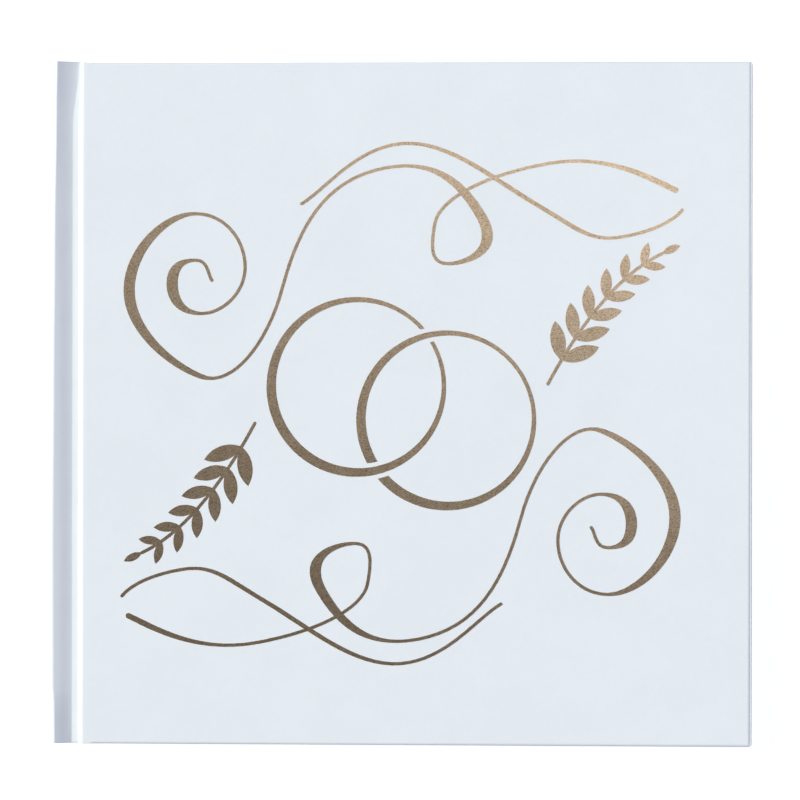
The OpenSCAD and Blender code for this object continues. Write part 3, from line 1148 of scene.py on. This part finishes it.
@dataclass
class Block:
    """The sewn block: leaves, folds, sewing, mull, lining and bands.

    Attributes:
        sizes: The book's sizes.
        wardrobe: The materials.
        gutter: How far from its fold a leaf is cut into finer steps.
        trim_play: How far a leaf's trimmed edges may stand in or out.
        bead_r: Radius of the headband's and tailband's bead.
        bead_wraps: Turns of silk round it.
        wrap_rise: How far the silk stands out of the bead.
        tongue_length: How far a band's tongue goes down the spine.
        tongue_t: Thickness of the tongue.
    """

    sizes: BookSizes
    wardrobe: Wardrobe
    gutter: float = 14 * MM
    trim_play: float = 0.12 * MM
    bead_r: float = 0.7 * MM
    bead_wraps: int = 11
    wrap_rise: float = 0.06 * MM
    tongue_length: float = 6 * MM
    tongue_t: float = 0.18 * MM

    def build(self) -> None:
        """Builds the leaves and dresses what holds them."""
        dice = random.Random(SEED)
        names = [f"leaf_{number:02d}" for number in range(1, 19)]
        sheets = [Sheet(name, f"turning_{name}", PAGE_PAPER) for name in names]
        sheets += [Sheet(name, f"turning_{name}", ENDPAPER)
                   for name in ("front_flyleaf", "back_flyleaf")]
        for sheet in sheets:
            self.leaf(sheet, dice)
        for number in (1, 2, 3):
            self.folds(number)
            self.wardrobe.dress(frame["nodes"][f"section_{number}_thread"], LINEN_THREAD)
        for side in Side:
            self.endpaper_fold(side)
        for node, finish in (("mull", MULL_CLOTH), ("spine_lining", KRAFT_PAPER)):
            self.wardrobe.dress(frame["nodes"][node], finish)
        for node in ("headband", "tailband"):
            self.band(node)

    def finish_sheet(self, piece: bpy.types.Object, finish: Finish, *nodes: str) -> None:
        """Dresses a piece of paper and says which CAD nodes it stands for.

        Args:
            piece: The piece.
            finish: What it is made of.
            *nodes: The CAD nodes that it replaces.
        """
        self.wardrobe.dress(piece, finish)
        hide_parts(*nodes)
        log.info("built %s", piece.name)

    def leaf(self, sheet: Sheet, dice: random.Random) -> None:
        """One whole leaf, flat from its fold to its trimmed edges, in finer steps near the fold.

        Args:
            sheet: Which leaf it is.
            dice: Draws how far its trimmed edges stand out.
        """
        s = self.sizes
        low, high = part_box(sheet.node)
        reach = s.page_x + dice.uniform(-self.trim_play, self.trim_play)
        half = s.page_half_y + dice.uniform(-self.trim_play, self.trim_play) / 2
        steps = [s.fold_x + self.gutter * i / 16 for i in range(17)]
        steps += [steps[-1] + (reach - steps[-1]) * i / 6 for i in range(1, 7)]
        mesh = swept_sheet([Vector((x, high.z)) for x in steps], stations(half, count=6),
                           high.z - low.z)
        piece = to_piece(f"sheet_{sheet.node}", mesh)
        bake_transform(piece)
        self.finish_sheet(piece, sheet.finish, sheet.node)

    def folds(self, number: int) -> None:
        """The round folds of a section's three nested sheets, at the spine.

        Args:
            number: The section's number.
        """
        s = self.sizes
        node = f"section_{number}_folds"
        low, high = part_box(node)
        leaf_low, leaf_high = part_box("leaf_01")
        thickness = leaf_high.z - leaf_low.z
        middle = (low.z + high.z) / 2
        pitch = (high.z - low.z - thickness) / 5
        joined = bmesh.new()
        for depth in range(3):
            radius = (depth + 0.5) * pitch
            centre = s.fold_x + 0.01 * MM
            outer = radius + thickness / 2
            inner = radius - thickness / 2
            arc = [math.pi / 2 + math.pi * i / 10 for i in range(11)]
            outline = [Vector((centre + outer * math.cos(a), middle + outer * math.sin(a)))
                       for a in arc]
            outline += [Vector((centre + inner * math.cos(a), middle + inner * math.sin(a)))
                        for a in reversed(arc)]
            join_into(joined, prism(outline, stations(s.page_half_y, count=4)))
        piece = to_piece(f"{node}_round", joined)
        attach(piece, "spine")
        self.finish_sheet(piece, PAGE_PAPER, node)

    def endpaper_fold(self, side: Side) -> None:
        """The fold between a pastedown and its flyleaf, tipped to the first section.

        Args:
            side: The cover that it lies next to.
        """
        s = self.sizes
        node = f"{side.value}_endpaper_fold"
        low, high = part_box(node)
        thickness = high.z - low.z
        path = [Vector((low.x, high.z)), Vector((s.fold_x + 0.02 * MM, high.z))]
        mesh = swept_sheet(path, stations(s.page_half_y, count=4), thickness)
        soften(mesh, [edge for edge in mesh.edges
                      if all(abs(vert.co.x - low.x) < TOUCH for vert in edge.verts)], 0.07 * MM)
        piece = to_piece(f"{node}_strip", mesh)
        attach(piece, "spine")
        self.finish_sheet(piece, ENDPAPER, node)

    def band(self, node: str) -> None:
        """Beaded band: a corded bead wound with silk, and its tongue down the spine.

        Args:
            node: The band's CAD node.
        """
        low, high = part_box(node)
        sign = 1.0 if node == "headband" else -1.0
        tip_y = sign * (max(abs(low.y), abs(high.y)) - self.bead_r)
        centre = Vector((high.x - self.bead_r, tip_y, low.z))
        length = high.z - low.z
        steps = self.bead_wraps * 4
        mesh = bmesh.new()
        profile = []
        for step in range(steps + 1):
            ridge = self.wrap_rise * abs(math.sin(math.pi * step / 4))
            taper = min(1.0, 0.55 + 0.25 * min(step, steps - step))
            radius = (self.bead_r - self.wrap_rise) * taper + ridge
            profile.append(mesh.verts.new(centre + Vector((radius, 0, length * step / steps))))
        chain = [mesh.edges.new(pair) for pair in zip(profile, profile[1:])]
        bmesh.ops.spin(mesh, geom=profile + chain, cent=centre, axis=(0, 0, 1),
                       angle=math.tau, steps=20, use_merge=True)
        bmesh.ops.holes_fill(mesh, edges=[e for e in mesh.edges if e.is_boundary], sides=0)
        bmesh.ops.recalc_face_normals(mesh, faces=mesh.faces[:])
        ends = sorted((sign * (abs(tip_y) - self.tongue_length), tip_y))
        join_into(mesh, block((low.x, ends[0], low.z), (low.x + self.tongue_t, ends[1], high.z)))
        piece = to_piece(f"{node}_beaded", mesh)
        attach(piece, "spine")
        self.finish_sheet(piece, BAND_CLOTH, node)


# ---------------------------------------------------------------- studio


def place_in_scene(name: str, data: bpy.types.ID, place: Sequence[float],
                   turn: Sequence[float]) -> bpy.types.Object:
    """Puts a light or a camera into the scene, at its place and turned about X, Y and Z.

    Args:
        name: The item's name.
        data: The light or the camera.
        place: Where it stands.
        turn: Its turn about X, Y and Z.

    Returns:
        The item.
    """
    item = bpy.data.objects.new(name, data)
    bpy.context.scene.collection.objects.link(item)
    item.location = place
    item.rotation_euler = turn
    return item


@dataclass(frozen=True)
class Panel:
    """One soft rectangular light overhead, facing straight down.

    Attributes:
        name: Its name.
        place: Where its middle hangs.
        turn: How far it is turned about the vertical.
        size: Its width and depth.
        radiance: How bright its face is.
        colour: Its colour.
    """

    name: str
    place: tuple[float, float, float]
    turn: float
    size: tuple[float, float]
    radiance: float
    colour: Colour

    def hang(self) -> None:
        """Puts the light into the scene."""
        data = bpy.data.lights.new(self.name, "AREA")
        data.shape = "RECTANGLE"
        data.size, data.size_y = self.size
        data.energy = self.radiance * math.pi * self.size[0] * self.size[1]
        data.color = self.colour
        place_in_scene(self.name, data, self.place, (0, 0, self.turn))


@dataclass(frozen=True)
class Key:
    """The main light, far enough away to fall evenly over the whole book.

    Attributes:
        elevation: Its height above the floor.
        azimuth: The side that it comes from, about the vertical from +X.
        strength: Light that falls on a surface facing it.
        softness: Angle that it spans in the sky.
        colour: Its colour.
    """

    elevation: float
    azimuth: float
    strength: float
    softness: float
    colour: Colour

    def hang(self) -> None:
        """Puts the light into the scene."""
        data = bpy.data.lights.new("key", "SUN")
        data.energy = self.strength
        data.angle = self.softness
        data.color = self.colour
        toward = Vector((math.cos(self.elevation) * math.cos(self.azimuth),
                         math.cos(self.elevation) * math.sin(self.azimuth),
                         math.sin(self.elevation)))
        place_in_scene("key", data, toward, toward.to_track_quat("Z", "Y").to_euler())


@dataclass
class Studio:
    """Pale floor, soft light and the camera above the book.

    Attributes:
        sizes: The book's sizes.
        wardrobe: The materials.
        camera_distance: From the camera to the front cover.
        camera_lean: How far the camera leans from the vertical, towards the fore-edge.
        camera_roll: How far it is turned about its own axis.
        lens_mm: Its focal length.
        aim_offset: Where it looks, from the middle of the cover.
        horizon: Colour of the light from low down.
        zenith: Colour of the ceiling.
        sky_fade: Heights between which the one fades into the other, as the sine of the elevation.
        panel_size: Width and depth of the panel overhead.
        panel_height: Its height above the floor.
        panel_shift: How far its near edge hangs behind the point that the cover's middle mirrors.
        panel_side: The side that it hangs on, about the vertical from +X.
        panel_radiance: How bright its face is.
        floor_half: Half the width of the floor.
        floor_gap: Gap between the floor and the book.
        floor_glow: Light that the camera sees the floor give off.
        floor_bounce: Light that it gives off to the book.
    """

    sizes: BookSizes
    wardrobe: Wardrobe
    camera_distance: float = 1.0
    camera_lean: float = math.radians(2.2)
    camera_roll: float = math.radians(0.1)
    lens_mm: float = 150.0
    aim_offset: tuple[float, float] = (-0.35 * MM, 1.15 * MM)
    horizon: Colour = (0.15, 0.17, 0.34)
    zenith: Colour = (0.03, 0.027, 0.024)
    sky_fade: tuple[float, float] = (0.74, 0.95)
    panel_size: tuple[float, float] = (1.8, 1.15)
    panel_height: float = 2.4
    panel_shift: float = 0.28
    panel_side: float = math.radians(60)
    panel_radiance: float = 1.9
    floor_half: float = 3.0
    floor_gap: float = 0.06 * MM
    floor_glow: float = 0.88
    floor_bounce: float = 0.2

    def build(self) -> None:
        """Sets the floor, lights, sky and camera."""
        bpy.context.scene.view_settings.view_transform = "Standard"
        self.floor()
        mirrored = -math.tan(self.camera_lean) * self.panel_height * math.cos(self.panel_side)
        reach = mirrored + self.panel_shift + self.panel_size[1] / 2
        place = (reach * math.cos(self.panel_side), reach * math.sin(self.panel_side),
                 self.panel_height)
        Panel(name="bank", place=place, turn=self.panel_side - math.pi / 2, size=self.panel_size,
              radiance=self.panel_radiance, colour=(1.0, 1.0, 1.02)).hang()
        Key(elevation=math.radians(42), azimuth=math.radians(168), strength=3.58,
            softness=math.radians(14), colour=(1.0, 1.0, 0.88)).hang()
        self.sky()
        self.camera()

    def sky(self) -> None:
        """Soft blue light from low down that fades to a dim ceiling."""
        world = bpy.data.worlds.new("studio")
        world.use_nodes = True
        bench = NodeBench(world.node_tree)
        up = bench.add("SeparateXYZ", {0: bench.add("TexCoord").outputs["Generated"]}).outputs["Z"]
        colour = bench.blend_colours(bench.spread(up, *self.sky_fade), rgba(self.horizon),
                                     rgba(self.zenith))
        bench.tree.links.new(colour, world.node_tree.nodes["Background"].inputs["Color"])
        bpy.context.scene.world = world

    def floor(self) -> None:
        """Plain pale floor that the book lies on, brighter to the camera than to the book."""
        mesh = bmesh.new()
        bmesh.ops.create_grid(mesh, x_segments=2, y_segments=2, size=self.floor_half,
                              matrix=Matrix.Translation((0, 0, -self.floor_gap)))
        floor = to_piece("floor", mesh)
        self.wardrobe.dress(floor, FLOOR_PAPER)
        bench = NodeBench(floor.data.materials[0].node_tree)
        shader = bench.tree.nodes["Principled BSDF"]
        shader.inputs["Emission Color"].default_value = rgba((1.0, 1.0, 1.0))
        seen = bench.add("LightPath").outputs["Is Camera Ray"]
        glow = bench.spread(seen, 0.0, 1.0, self.floor_bounce, self.floor_glow)
        bench.tree.links.new(glow, shader.inputs["Emission Strength"])

    def camera(self) -> None:
        """Camera straight above, leaning a little towards the fore-edge."""
        s = self.sizes
        data = bpy.data.cameras.new("camera")
        data.lens = self.lens_mm
        data.clip_start = 0.05
        aim = Vector((self.aim_offset[0], self.aim_offset[1], s.top_z))
        back = Vector((math.sin(self.camera_lean), 0, math.cos(self.camera_lean)))
        bpy.context.scene.camera = place_in_scene("camera", data, aim + back * self.camera_distance,
                                                  (0, self.camera_lean, self.camera_roll))


def main() -> None:
    logging.basicConfig(level=logging.INFO, format="%(name)s: %(message)s")
    wardrobe = Wardrobe.build(Effects.build())
    sizes = BookSizes.from_frame()
    Studio(sizes, wardrobe).build()
    for side in Side:
        Cover(side, sizes, wardrobe).build()
    Spine(sizes, wardrobe).build()
    FoilOrnament(wardrobe).build()
    Block(sizes, wardrobe).build()
    log.info("size written")


if __name__ == "__main__":
    main()
